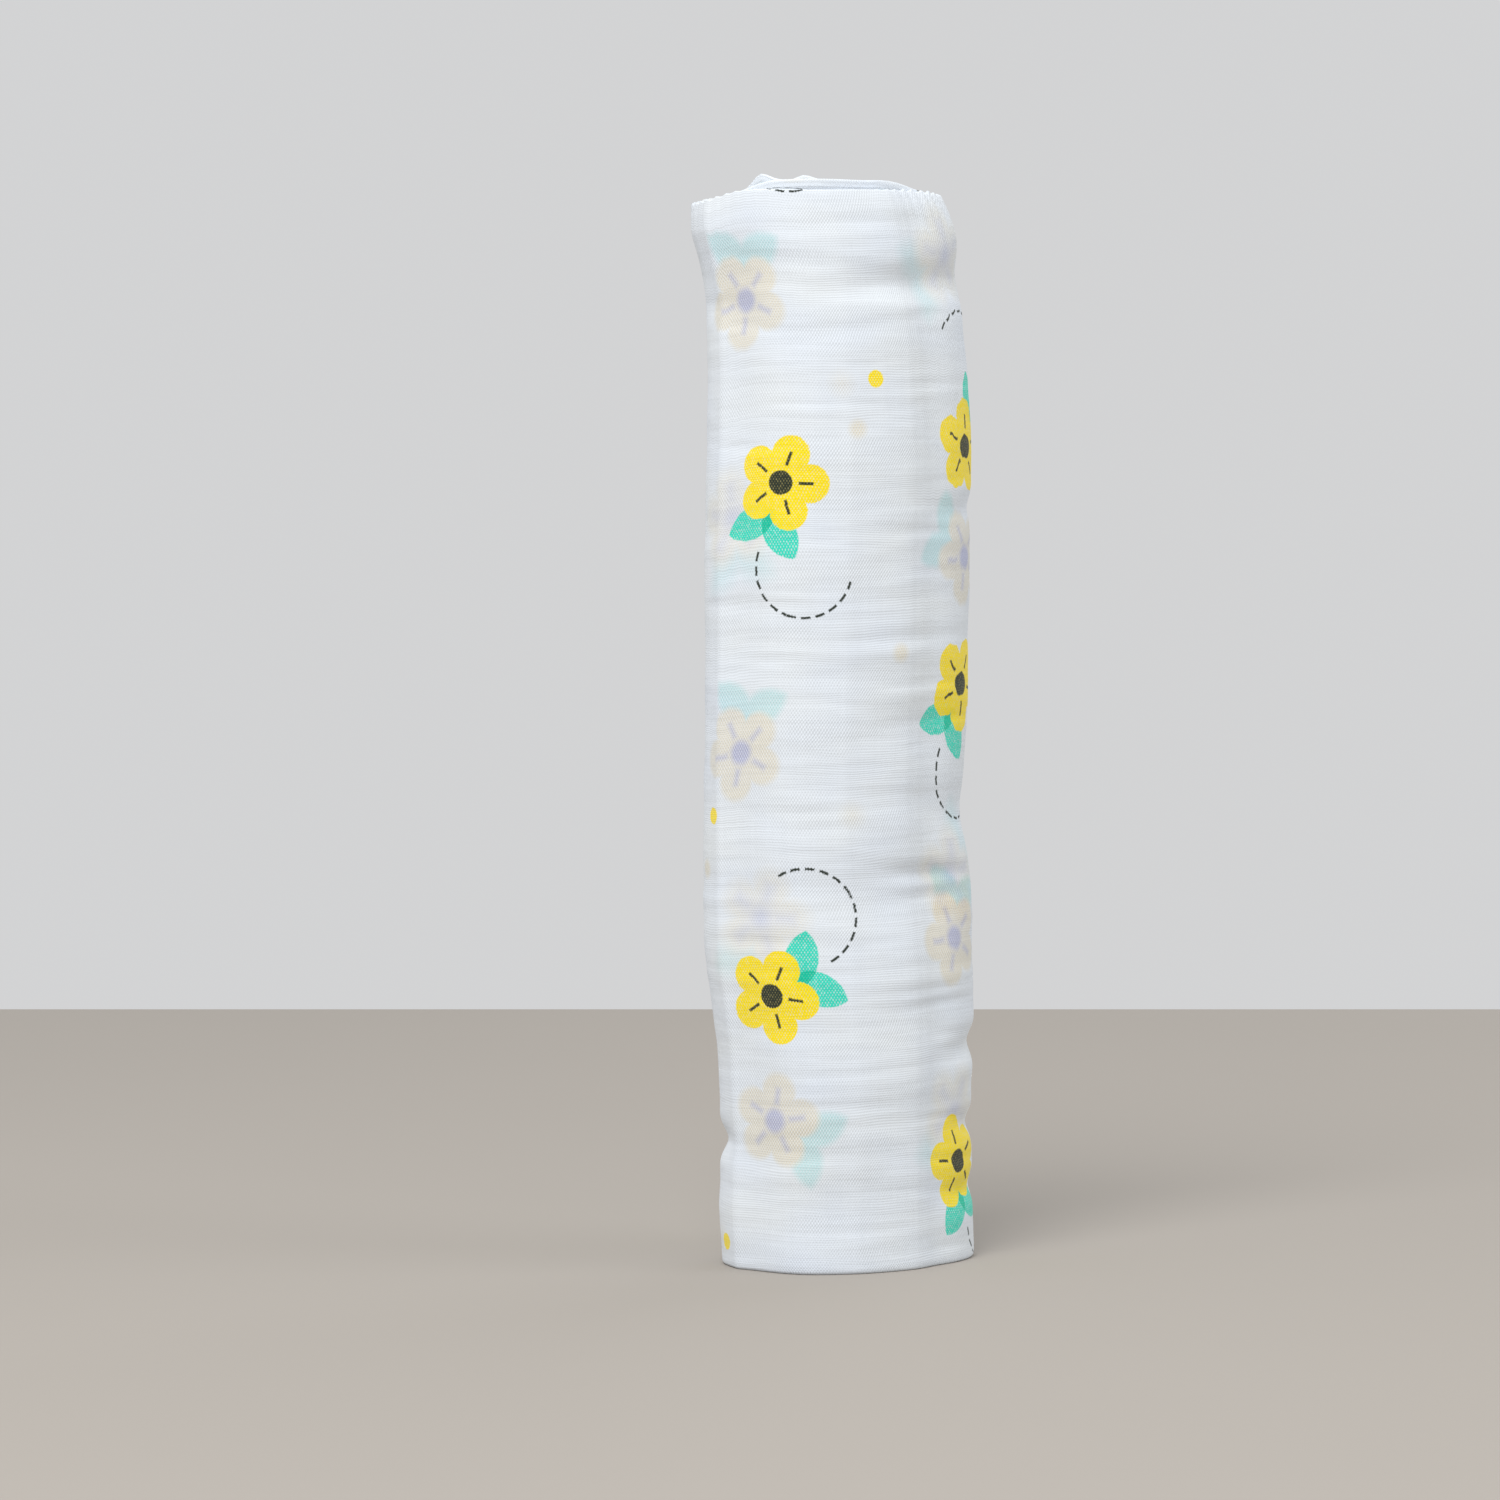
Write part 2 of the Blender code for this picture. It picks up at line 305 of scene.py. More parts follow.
# The outside panel's folds at the rim and the foot: how high the rim's is puffed, the rows that reach on
# inside the roll, above the floor and below the rim, and the cloth each takes, a share of its side
RIM_PUFF = 0.55 * MM
FOOT_ROWS = np.array([3.0, 2.0]) * MM
RIM_ROWS = np.array([1.2, 3.4]) * MM
FOOT_SHARE = 0.004
RIM_SHARE = 0.001

# The hem's groove in the outside panel
GROOVE_DEPTH = 0.16 * MM
GROOVE_WIDTH = 0.9 * MM

# How far the inside hem and the middle hem lie below the strip's fold: on the whole and by waves, in mm
HEM_LINES = table(
    "below waves length start",
    (0.4, 0.4, 31, 0.0),
    (0.5, 0.3, 19, 2.0),
)

# Where the fine panel and the strip start behind the end's face, how far the strip's fold stays below
# the rim, how far its hidden panels stay above the floor, and how far its small folds rise
PANEL_START = 1.0 * MM
STRIP_START = 1.2 * MM
BELOW_RIM = 0.6 * MM
ABOVE_FLOOR = 1.2 * MM
FOLD_RISE = 0.5 * MM

# Fineness
SPIRAL_STEPS = 4000
OVERLAP = 1.11              # turns of the fine panel, which ends under the outer end
SEAM = 0.01                 # of a turn, how far the strip's own panel reaches in front of that
PANEL_STEP = 1.16 * MM
PANEL_ROWS = 272
STRIP_STEP = 2.9 * MM
END_COLUMNS = 17
PANEL_RING = 9              # rows round each fold of the fine panel
STRIP_RING = 7              # rows round a fold of the strip
TUCK = 0.10                 # how far hidden layers are drawn in between the two ends, a share
TUCK_FROM = 3 * MM          # the distance from either end at which that starts
TUCK_EASE = 20 * MM


# ---- What a user would change ----

def a_number(name, value, description):
    return FloatProperty(name=name, description=description, default=value)


def a_length(name, value, description, least=0.0):
    return FloatProperty(name=name, description=description, default=value, min=least, unit="LENGTH")


def a_share(name, value, description, least=0.0, greatest=1.0):
    return FloatProperty(name=name, description=description, default=value, min=least, max=greatest,
                         subtype="FACTOR")


def a_colour(name, value, description):
    return FloatVectorProperty(name=name, description=description, subtype="COLOR", default=value,
                               min=0.0, max=1.0)


class MuslinRollSizes(bpy.types.PropertyGroup):
    """The cloth and how it is rolled."""
    cloth_side: a_length("Cloth side", 1.2, "Side of the square cloth, laid flat", least=0.5)
    turns: IntProperty(name="Turns", description="Turns of the folded strip in the roll", default=10, min=4)
    core_share: a_share("Core", 0.12, "Width of the hollow core, a share of the roll's", 0.05, 0.5)
    hem: a_length("Hem", 0.005, "Width of the turned hem")


class MuslinPrintLook(bpy.types.PropertyGroup):
    """The printed sprigs and dots."""
    spacing_round: a_length("Spacing round", 0.064, "From one column of sprigs to the next")
    spacing_up: a_length("Spacing up", 0.120, "From one sprig to the next in a column")
    flower: a_length("Flower", 0.0135, "Radius of a flower")
    dot: a_length("Dot", 0.0024, "Radius of a dot")
    yellow: a_colour("Petals", (1.0, 0.79, 0.0), "Ink of the petals and dots")
    mint: a_colour("Leaves", (0.035, 0.72, 0.54), "Ink of the leaves")
    teal: a_colour("Crossing", (0.0, 0.56, 0.365), "Ink where two leaves cross")
    charcoal: a_colour("Lines", (0.020, 0.030, 0.020), "Ink of the stems and marks")
    seen_through: a_share("Seen through", 0.9, "How strongly the layer beneath shows")


class MuslinClothLook(bpy.types.PropertyGroup):
    """The double gauze itself."""
    white: a_colour("White", (0.755, 0.825, 0.932), "The cloth's cool white")
    cream: a_colour("Soft white", (0.820, 0.864, 0.883), "Its warmer patches")
    warp: a_length("Warp pitch", 0.00043, "From one thread along the roll to the next")
    weft: a_length("Weft pitch", 0.00068, "From one thread round the roll to the next")
    relief: a_length("Weave relief", 0.0001, "How far the threads stand out")
    roughness: a_share("Roughness", 0.93, "Roughness of the cloth")


class MuslinStage(bpy.types.PropertyGroup):
    """The camera's place and the studio light."""
    camera_place: FloatVectorProperty(name="Camera", description="The camera's place", subtype="XYZ",
                                      unit="LENGTH", default=(-0.0232, -1.685, 0.2336))
    camera_dip: FloatProperty(name="Dip", description="How far the camera looks down",
                              default=float(np.radians(3.11)), subtype="ANGLE", unit="ROTATION")
    lens: a_number("Lens", 146.16, "Focal length, in mm, on a 36 mm frame")
    floor_behind: a_length("Floor behind", 0.72, "How far the floor reaches behind the roll")
    key: a_number("Key light", 34.0, "Power of the key light, in watts")
    side: a_number("Side light", 4.4, "Power of the light on the right, in watts")
    back: a_number("Back light", 6.0, "Power of the light behind, in watts")
    sky: a_number("Surround", 0.66, "Strength of the light all round")


# ---- The roll's form ----

def column(rows, name):
    return np.array([getattr(row, name) for row in rows], float)


def smooth_step(share):
    """0 below 0, 1 above 1, and 3t^2 - 2t^3 between."""
    share = np.clip(share, 0.0, 1.0)
    return share * share * (3 - 2 * share)


def smooth_through(at, knots, values):
    """A smooth curve through the knots: cubic pieces whose slopes are the knots' mean slopes."""
    slopes = np.gradient(values, knots)
    k = np.clip(np.searchsorted(knots, at, side="right") - 1, 0, len(knots) - 2)
    gap = knots[k + 1] - knots[k]
    t = np.clip((at - knots[k]) / gap, 0.0, 1.0)
    from_start = (1 + 2 * t) * (1 - t) ** 2 * values[k] + t * (1 - t) ** 2 * gap * slopes[k]
    from_end = t * t * (3 - 2 * t) * values[k + 1] - t * t * (1 - t) * gap * slopes[k + 1]
    return from_start + from_end


def turned_from(bearing, middle):
    """The angle from middle to bearing, between -180 and 180."""
    return (bearing - middle + 180.0) % 360.0 - 180.0


def round_the_roll(bearing, rows, name):
    """A table's value at a bearing, in metres: smooth, and the same after a whole turn."""
    around = column(rows, "bearing")
    knots = np.concatenate([around - 360.0, around, around + 360.0])
    return smooth_through(turned_from(bearing, 0.0), knots, np.tile(column(rows, name), 3)) * MM


def pressed_creases(rows, bearing):
    """How far pressed creases stand out: each is a ridge that falls away as exp(-turn / width)."""
    out = np.zeros_like(bearing)
    for crease in rows:
        out += crease.rise * np.exp(-np.abs(turned_from(bearing, crease.bearing)) / crease.width)
    return out * MM


def folds(rows, height, bearing):
    """How far the folds move the wall: each is a trough with a low shoulder on both sides.

    Across it, the trough is (1 - 0.8q^2) exp(-q^2), where q is the distance from its line over its
    reach. Along it, it fades as a squared cosine.
    """
    out = np.zeros(np.broadcast(height, bearing).shape)
    for fold in rows:
        along = turned_from(bearing, fold.bearing) / fold.span
        fade = np.where(np.abs(along) < 1.0, np.cos(along * np.pi / 2) ** 2, 0.0)
        across = (height / MM - fold.height - fold.tilt * along) / fold.reach
        out -= fold.depth * fade * (1.0 - 0.8 * across**2) * np.exp(-(across**2))
    return out * MM


def section_at(height):
    """The section at a height: its middle's x and y, half its width and half its depth."""
    knots = column(SECTIONS, "height") * MM
    left, right, front, back = (smooth_through(height, knots, column(SECTIONS, name) * MM)
                                for name in ("left", "right", "front", "back"))
    return (right - left) / 2, (back - front) / 2, (right + left) / 2, (back + front) / 2


def wall(height, bearing, inset, fine=0.0):
    """A point of the roll's wall, or of a layer inside it.

    The section is an ellipse with the table's reaches, turned back on the right. Its swells, creases
    and folds are added outwards, and so is the fine relief. inset is the share by which a layer is
    smaller.
    """
    middle_x, middle_y, half_width, half_depth = section_at(height)
    sine = np.sin(np.radians(bearing))
    cosine = np.cos(np.radians(bearing))
    relief = round_the_roll(bearing, SWELLS, "out") + pressed_creases(CREASES, bearing)
    relief = relief + folds(FOLDS, height, bearing) + fine
    across = (half_width + relief) * sine
    toward = (half_depth + relief) * cosine
    x = middle_x + across * (1 - inset)
    y = middle_y - (toward - SLEW * across) * (1 - inset)
    return np.stack(np.broadcast_arrays(x, y, height), axis=-1)


def winding(turned):
    """How deep the strip's outside lies, in turns, after winding that many turns inwards.

    It is proud at the outer end, level round most of the first turn, sunk where it passes under that
    end, and from there on an even spiral.
    """
    turn = np.floor(turned)
    part = turned - turn
    spiral = part - END_STANDS
    share = np.clip(turn / 2, 0.0, 1.0)
    under = (1 - END_STANDS) * np.exp(-(1 - part) / END_FADE)
    step = under - END_STANDS * np.exp(-part / END_FADE)
    return turn + share * spiral + (1 - share) * step


def uneven(x, y, ripple):
    """Smooth unevenness: random heights at the corners of cells, eased between with smooth_step."""
    across = x / (ripple.round * MM)
    up = y / (ripple.up * MM)
    across = across - across.min()
    up = up - up.min()
    i, j = np.floor(across).astype(int), np.floor(up).astype(int)
    corners = np.random.default_rng(ripple.seed).standard_normal((i.max() + 2, j.max() + 2))
    s, t = smooth_step(across - i), smooth_step(up - j)
    low = corners[i, j] * (1 - s) + corners[i + 1, j] * s
    high = corners[i, j + 1] * (1 - s) + corners[i + 1, j + 1] * s
    return (low * (1 - t) + high * t) * ripple.out * MM


def gathers(along, bearing):
    """How strongly the rim is gathered: ripples of the gathers' pitch, faded at both ends of each."""
    strength = np.zeros_like(bearing)
    for gather in GATHERS:
        strength += gather.out * MM * np.exp(-(turned_from(bearing, gather.bearing) / gather.span) ** 2)
    wander = GATHER_WANDER * np.sin(along / (GATHER_DRIFT * GATHER_PITCH))
    return strength * np.sin(2 * np.pi * along / GATHER_PITCH + wander)


def fold_heights(rolling, turned, along):
    """The height of the fold at the top of the strip: the rim outside, the crown's table further in.

    From turn to turn the crown sinks a little and waves by a product of two sines. Its peaks are bells
    round a turn and a bearing.
    """
    bearing = rolling.bearing(turned)
    rim = round_the_roll(bearing, RIM, "height")
    across = wall(rim, bearing, rolling.inset(winding(turned)))[..., 0]
    crown = smooth_through(across, column(CROWN, "across") * MM, column(CROWN, "height") * MM)
    waves = np.sin(along / (9 * MM)) * np.sin(along / (23 * MM) + 1.0)
    deeper = smooth_step((turned - UNEVEN_FROM) / UNEVEN_EASE)
    sunk = CROWN_SINKS * np.clip(turned - UNEVEN_FROM, 0.0, SINKING_TURNS)
    crown = crown + (CROWN_WAVES * waves * deeper - sunk) * MM
    top = rim + (crown - rim) * smooth_step((turned - CROWN_FROM) / CROWN_EASE)
    for peak in PEAKS:
        near_turn = np.exp(-((turned - peak.turn) / PEAK_REACH) ** 2)
        near_bearing = np.exp(-(turned_from(bearing, peak.bearing) / peak.width) ** 2)
        top = top + peak.rise * MM * near_turn * near_bearing
    return top


# ---- Surfaces on a grid of rows up the roll and columns round it ----

class Rolling:
    """The strip's spiral, with the length of cloth wound up to each turn."""

    def __init__(self, sizes):
        self.sizes = sizes
        self.turned = np.linspace(0.0, sizes.turns, SPIRAL_STEPS)
        middle = np.full_like(self.turned, sizes.cloth_side / 8)
        path = wall(middle, self.bearing(self.turned), self.inset(winding(self.turned)))
        steps = np.linalg.norm(np.diff(path, axis=0), axis=1)
        self.length = np.concatenate([[0.0], np.cumsum(steps)])

    def bearing(self, turned):
        return END_BEARING + 360.0 * turned

    def inset(self, depth):
        """The share by which a layer that many turns deep is smaller than the roll."""
        return depth * (1 - self.sizes.core_share) / self.sizes.turns

    def swing(self, stray):
        """The angle, in degrees, that a short way along the outermost turn makes."""
        return 360.0 * stray / self.along(1.0)

    def along(self, turned):
        return np.interp(turned, self.turned, self.length)

    def turned_at(self, along):
        return np.interp(along, self.length, self.turned)


def half_ring(count, start_layer, end_layer):
    """Half an ellipse from one layer to another, over or under: its layers, and its heights from 0 to 1."""
    angle = np.linspace(0.0, np.pi, count)
    middle, half = (start_layer + end_layer) / 2, (start_layer - end_layer) / 2
    return middle + half * np.cos(angle), np.sin(angle)


def panel_profile(tops):
    """The outside panel from its fold at the foot to its fold over the rim, row by row.

    Rows run from the panel inside the strip, under the foot, up the outside and over the rim. Returns
    each row's layer in turns, its height, and its place across the cloth as a share of its side.
    """
    under, dip = half_ring(PANEL_RING, INSIDE, OUTSIDE)
    over, lift = half_ring(PANEL_RING, OUTSIDE, PUFF)
    upright = np.full(PANEL_ROWS, OUTSIDE)
    layers = np.concatenate([[INSIDE, INSIDE], under, upright, over, [PUFF, BEHIND]])
    foot = FOOT_ROUNDING * (1 - dip)
    rise = np.linspace(0.0, 1.0, PANEL_ROWS + 2)[1:-1]
    base = tops[None, :] - RIM_PUFF
    climb = FOOT_ROUNDING + (base - FOOT_ROUNDING) * rise[:, None]
    heights = np.concatenate([
        np.repeat(FOOT_ROWS[:, None], len(tops), 1), np.repeat(foot[:, None], len(tops), 1),
        climb, base + RIM_PUFF * lift[:, None], base - RIM_ROWS[:, None],
    ])
    quarter = 0.25
    across = np.concatenate([
        quarter - FOOT_SHARE * np.array([1.0, 0.7]),
        quarter - FOOT_SHARE * 0.5 * np.linspace(1, -0.2, PANEL_RING),
        quarter + RIM_SHARE + (quarter - 2 * RIM_SHARE) * rise,
        2 * quarter + RIM_SHARE * np.linspace(-1, 1, PANEL_RING),
        2 * quarter + RIM_SHARE * np.array([2.0, 4.0]),
    ])
    return layers, heights, across


def end_waves(heights, along):
    """How far the cloth near the outer end strays along itself: a sine up the roll for each wave."""
    out = np.zeros_like(heights)
    for wave in END_WAVES:
        out += wave.out * MM * np.sin(2 * np.pi * heights / (wave.length * MM) + wave.start)
    return out * np.exp(-np.abs(along) / END_WAVES_FADE)


def panel_columns(rolling):
    """The panel's columns: the four layers' edges at the outer end, then the panel itself.

    The end is one ruffled face, four small bulges deep, one for each layer's hem.
    """
    face = np.linspace(1.0, 0.0, END_COLUMNS)
    bulge = np.abs(np.sin(4 * np.pi * face))
    stagger = FACE_STAGGER[np.minimum((face * 4).astype(int), 3)]
    face_along = (FACE_BULGE * (1.0 - bulge + (face == 1.0)) + stagger) * MM
    face_depth = FACE_REACH * face - END_STANDS
    count = int(rolling.along(OVERLAP) / PANEL_STEP)
    along = np.linspace(PANEL_START, rolling.along(OVERLAP), count)
    turned = rolling.turned_at(along)
    depth = winding(turned)
    return (np.concatenate([rolling.turned_at(np.abs(face_along)), turned]),
            np.concatenate([face_depth, depth]), np.concatenate([face_along, along]))


def panel_surface(rolling):
    """The outside panel, fine enough to carry every crease: points by row and column, and its map."""
    turned, depth, along = panel_columns(rolling)
    bearing = rolling.bearing(turned)
    tops = fold_heights(rolling, turned, along)
    puckers = gathers(along, bearing)
    layers, heights, across = panel_profile(tops + GATHER_LIFT * np.maximum(puckers, 0.0))
    fine = folds(THIN_CREASES, heights, bearing[None, :]) + pressed_creases(PRESSED_LINES, bearing)
    grid_along = np.broadcast_to(along[None, :], heights.shape)
    for ripple in RIPPLES:
        fine = fine + uneven(grid_along, heights, ripple)
    below_rim = tops[None, :] - heights
    fine = fine + puckers[None, :] * np.exp(-np.maximum(below_rim, 0.0) / GATHER_FADE)
    fine = fine - GROOVE_DEPTH * np.exp(-((grid_along - rolling.sizes.hem) / GROOVE_WIDTH) ** 2)
    inset = rolling.inset(depth[None, :] + layers[:, None])
    points = wall(heights, bearing[None, :] + rolling.swing(end_waves(heights, along)), inset, fine)
    return points, cloth_map(rolling, across, along)


def strip_profile(sizes):
    """The folded strip's section, from the hem inside the roll to the hem in the strip's middle.

    Each row has a layer in turns, a share of the height, a lift in metres from there, a share of the
    cloth's side, and which upper edge it ends at: 0 the inside hem, 1 the fold, 2 the middle hem.
    """
    near = np.array([2.0, 5.0, 11.0, 24.0]) * MM
    far = np.array([0.25, 0.5, 0.75])
    rows = []

    def add(layer, share, lift, across, edge):
        size = max(np.size(layer), np.size(share), np.size(lift), np.size(across))
        rows.append(np.stack([np.broadcast_to(np.asarray(v, float), (size,))
                              for v in (layer, share, lift, across, edge)]))

    def panel(layer, start, end, edge_start, upwards):
        """One panel between its two folds, closely spaced near both ends."""
        share = np.concatenate([np.zeros(4), far, np.ones(4)])
        lift = np.concatenate([near + ABOVE_FLOOR, np.zeros(3), -near[::-1]])
        place = np.linspace(0.02, 0.98, share.size)
        if not upwards:
            share, lift = share[::-1], lift[::-1]
        add(layer, share, lift, start + (end - start) * place, edge_start)

    def hem(layer, side, across, edge, opening):
        """A hem: the cloth turned over by the hem's width round a small fold."""
        turned, lift = half_ring(STRIP_RING, layer + side, layer)
        back = -np.array([sizes.hem, sizes.hem / 2])
        start = np.concatenate([back, FOLD_RISE * (lift - 1)])
        levels = np.concatenate([np.full(2, layer + side), turned])
        if not opening:
            levels, start = levels[::-1], start[::-1]
        add(levels, 1.0, start, across, edge)

    hem(INSIDE, side=0.20, across=0.001, edge=0, opening=True)
    panel(INSIDE, 0.0, 0.25, 0, upwards=False)
    under, dip = half_ring(STRIP_RING, INSIDE, OUTSIDE)
    add(under, 0.0, FOOT_ROUNDING * (1 - dip), 0.25, 1)
    panel(OUTSIDE, 0.25, 0.5, 1, upwards=True)
    over, lift = half_ring(STRIP_RING, OUTSIDE, BEHIND)
    add(over, 1.0, FOLD_RISE * (lift - 1), 0.5, 1)
    panel(BEHIND, 0.5, 0.75, 1, upwards=False)
    under, dip = half_ring(STRIP_RING - 2, BEHIND, MIDDLE)
    add(under, 0.0, ABOVE_FLOOR + FOLD_RISE * (1 - dip), 0.75, 2)
    panel(MIDDLE, 0.75, 1.0, 2, upwards=True)
    hem(MIDDLE, side=-0.17, across=0.999, edge=2, opening=False)
    return np.concatenate(rows, axis=1)


def hem_top(crest, along, line):
    """The height of a hem at the top: below the crest by a steady part and a sine along the strip."""
    return crest - (line.below + line.waves * np.sin(along / (line.length * MM) + line.start)) * MM


def strip_surface(rolling):
    """The whole folded strip wound up: points by row and column, its map, and the faces to keep.

    The outside panel of its first turn is left out, because the fine panel is that stretch of cloth. The
    columns are spaced evenly by the mean of their shares of the length and of the turns, and closer at
    the peaks, where each adds a smooth step to that mean.
    """
    sizes = rolling.sizes
    layers, shares, lifts, across, edges = strip_profile(sizes)
    length = rolling.length[-1]
    through = (rolling.length / length + rolling.turned / sizes.turns) / 2
    for peak in PEAKS:
        spread = PEAK_SPREAD * peak.width / 360
        through = through + PEAK_COLUMNS * smooth_step((rolling.turned - peak.turn) / spread + 0.5)
    share = np.linspace(0.0, through[-1], int(length / STRIP_STEP))
    turned = np.interp(share, through, rolling.turned)
    turned = np.maximum(turned, rolling.turned_at(STRIP_START))
    along = rolling.along(turned)
    bearing = rolling.bearing(turned)
    crest = fold_heights(rolling, turned, along)
    fold_top = crest - np.where(turned < OVERLAP, BELOW_RIM, 0.0)
    inside_hem, middle_hem = (hem_top(crest, along, line) for line in HEM_LINES)
    tops = np.stack([inside_hem, fold_top, middle_hem])[edges.astype(int)]
    heights = shares[:, None] * tops + lifts[:, None]
    from_end = np.minimum(heights, tops - heights)
    tuck = TUCK * smooth_step((from_end - TUCK_FROM) / TUCK_EASE)
    inset = rolling.inset(winding(turned)[None, :] + layers[:, None])
    swing = rolling.swing(end_waves(heights, along))
    points = wall(heights, bearing[None, :] + swing, 1 - (1 - inset) * (1 - tuck))

    shown = (across > 0.25 - RIM_SHARE) & (across < 0.5 + RIM_SHARE)
    row_shown = shown[:-1] & shown[1:]
    first_turn = turned[:-1] < OVERLAP - SEAM
    keep = ~(row_shown[:, None] & first_turn[None, :])
    return points, cloth_map(rolling, across, along), keep


def cloth_map(rolling, across, along):
    """The place of every point on the cloth laid flat, as shares of its side: along, then across."""
    u = np.clip(along / rolling.sizes.cloth_side, 0.0, 1.0)
    return np.stack(np.broadcast_arrays(u[None, :], across[:, None]), axis=-1)


def grid_faces(rows, columns, keep, first):
    """Quads between neighbouring rows and columns, wound so that the outside panel faces outwards."""
    index = first + np.arange(rows * columns).reshape(rows, columns)
    quads = np.stack([index[:-1, :-1], index[:-1, 1:], index[1:, 1:], index[1:, :-1]], axis=-1)
    return quads[keep] if keep is not None else quads.reshape(-1, 4)


def sheet_mesh(name, surfaces):
    """One mesh of several grids. Every point's place on the flat cloth goes into its map."""
    points, places, quads, first = [], [], [], 0
    for grid, place, keep in surfaces:
        rows, columns = grid.shape[:2]
        points.append(grid.reshape(-1, 3))
        places.append(place.reshape(-1, 2))
        quads.append(grid_faces(rows, columns, keep, first))
        first += rows * columns
    points, places, quads = (np.concatenate(part) for part in (points, places, quads))
    used, corners = np.unique(quads, return_inverse=True)
    corners = corners.reshape(-1)

    mesh = bpy.data.meshes.new(name)
    mesh.vertices.add(len(used))
    mesh.vertices.foreach_set("co", points[used].astype(np.float32).ravel())
    mesh.loops.add(len(corners))
    mesh.loops.foreach_set("vertex_index", corners.astype(np.int32))
    mesh.polygons.add(len(quads))
    mesh.polygons.foreach_set("loop_start", np.arange(0, len(corners), 4, dtype=np.int32))
    mesh.polygons.foreach_set("use_smooth", np.ones(len(quads), bool))
    flat = mesh.uv_layers.new(name=CLOTH_MAP)
    mesh.update(calc_edges=True)
    flat.data.foreach_set("uv", places[used][corners].astype(np.float32).ravel())
    mesh.validate()
    return mesh


def centred_on_node(points, box):
    """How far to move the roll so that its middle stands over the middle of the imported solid."""
    low, high = points.reshape(-1, 3).min(axis=0), points.reshape(-1, 3).max(axis=0)
    middle = [(box[0][axis] + box[1][axis]) / 2 for axis in (0, 1)]
    return np.array([middle[0] - (low[0] + high[0]) / 2, middle[1] - (low[1] + high[1]) / 2, 0.0])


# ---- Shader nodes ----

class Term:
    """A socket of a node tree, to be used in formulas.

    Every operator adds one node: Math for a number, and Vector Math for a vector or colour.
    """

    def __init__(self, tree, socket):
        self.tree = tree
        self.socket = socket

    def maths(self, operation, *others, clamp=False):
        if self.socket.type == "VALUE":
            node = add_node(self.tree, "ShaderNodeMath", operation=operation, use_clamp=clamp)
        else:
            node = add_node(self.tree, "ShaderNodeVectorMath", operation=operation)
        for socket, term in zip(node.inputs, (self, *others)):
            plug(self.tree, socket, term)
        return Term(self.tree, next(output for output in node.outputs if output.enabled))

    def __add__(self, other):
        return self.maths("ADD", other)

    def __sub__(self, other):
        return self.maths("SUBTRACT", other)

    def __mul__(self, other):
        return self.maths("MULTIPLY", other)

    def __truediv__(self, other):
        return self.maths("DIVIDE", other)

    def __abs__(self):
        return self.maths("ABSOLUTE")


def plug(tree, socket, value):
    if isinstance(value, Term):
        tree.links.new(value.socket, socket)
    else:
        socket.default_value = value


def add_node(tree, kind, inputs=(), **settings):
    node = tree.nodes.new(kind)
    for name, value in settings.items():
        setattr(node, name, value)
    for name, value in dict(inputs).items():
        plug(tree, node.inputs[name], value)
    node.location = (220 * (len(tree.nodes) % 12), -180 * (len(tree.nodes) // 12))
    return node


def made(tree, kind, inputs=(), output=0, **settings):
    """One output of a new node, as a term."""
    return Term(tree, add_node(tree, kind, inputs, **settings).outputs[output])


def split(place):
    """The x, y and z of a vector."""
    node = add_node(place.tree, "ShaderNodeSeparateXYZ", {"Vector": place})
    return [Term(place.tree, output) for output in node.outputs]


def joined(tree, x, y, z=0.0):
    return made(tree, "ShaderNodeCombineXYZ", {"X": x, "Y": y, "Z": z})


def rotated(place, angle):
    """A vector turned about Z."""
    return made(place.tree, "ShaderNodeVectorRotate", {"Vector": place, "Angle": angle},
                rotation_type="Z_AXIS")


def inside(distance, softness):
    """A mask from a distance to an outline: 1 inside, 0 outside, eased over the softness."""
    return (distance / softness).maths("MULTIPLY_ADD", -1.0, 0.5, clamp=True)


def most(mask, *others):
    for other in others:
        mask = mask.maths("MAXIMUM", other)
    return mask


def mixed(tree, share, below, above, blend="MIX"):
    """A Mix node for colours, whose sockets for them are the seventh and eighth."""
    inputs = {0: share, 6: below, 7: above}
    return made(tree, "ShaderNodeMix", inputs, 2, data_type="RGBA", blend_type=blend)


def opaque(colour):
    return (*colour, 1.0)


def noise(place, stretch, detail=2.0):
    """Noise that is drawn out along the cloth by different amounts, from 0 to 1."""
    inputs = {"Vector": place * stretch, "Scale": 1.0, "Detail": detail}
    return made(place.tree, "ShaderNodeTexNoise", inputs, "Fac", noise_dimensions="2D")


def new_group(name, inputs):
    """A node group and its inputs as terms: vectors, or numbers where a default is given."""
    group = bpy.data.node_groups.new(name, "ShaderNodeTree")
    for label, default in inputs.items():
        kind = "NodeSocketVector" if default is None else "NodeSocketFloat"
        socket = group.interface.new_socket(label, in_out="INPUT", socket_type=kind)
        if default is not None:
            socket.default_value = default
    entry = group.nodes.new("NodeGroupInput")
    return group, [Term(group, entry.outputs[label]) for label in inputs]


def close_group(group, **outputs):
    """Give the group its outputs, which are all numbers."""
    for label in outputs:
        group.interface.new_socket(label, in_out="OUTPUT", socket_type="NodeSocketFloat")
    leave = group.nodes.new("NodeGroupOutput")
    for label, value in outputs.items():
        plug(group, leave.inputs[label], value)
    return group


def use_group(tree, group, **inputs):
    node = add_node(tree, "ShaderNodeGroup", inputs, node_tree=group)
    return {output.name: Term(tree, output) for output in node.outputs}


# The sprig. Shares of the flower's radius: the least reach of its outline, the petals' rise on that,
# its heart, and the middle and half length of the marks on its petals.
PETALS = 5
NOTCH = 0.64
PETAL_RISE = 0.36
PETAL_POWER = 0.7           # below 1 for broad petals
HEART = 0.25
MARK = 0.52
MARK_HALF = 0.15
MARK_HALF_WIDTH = 0.42      # in mm
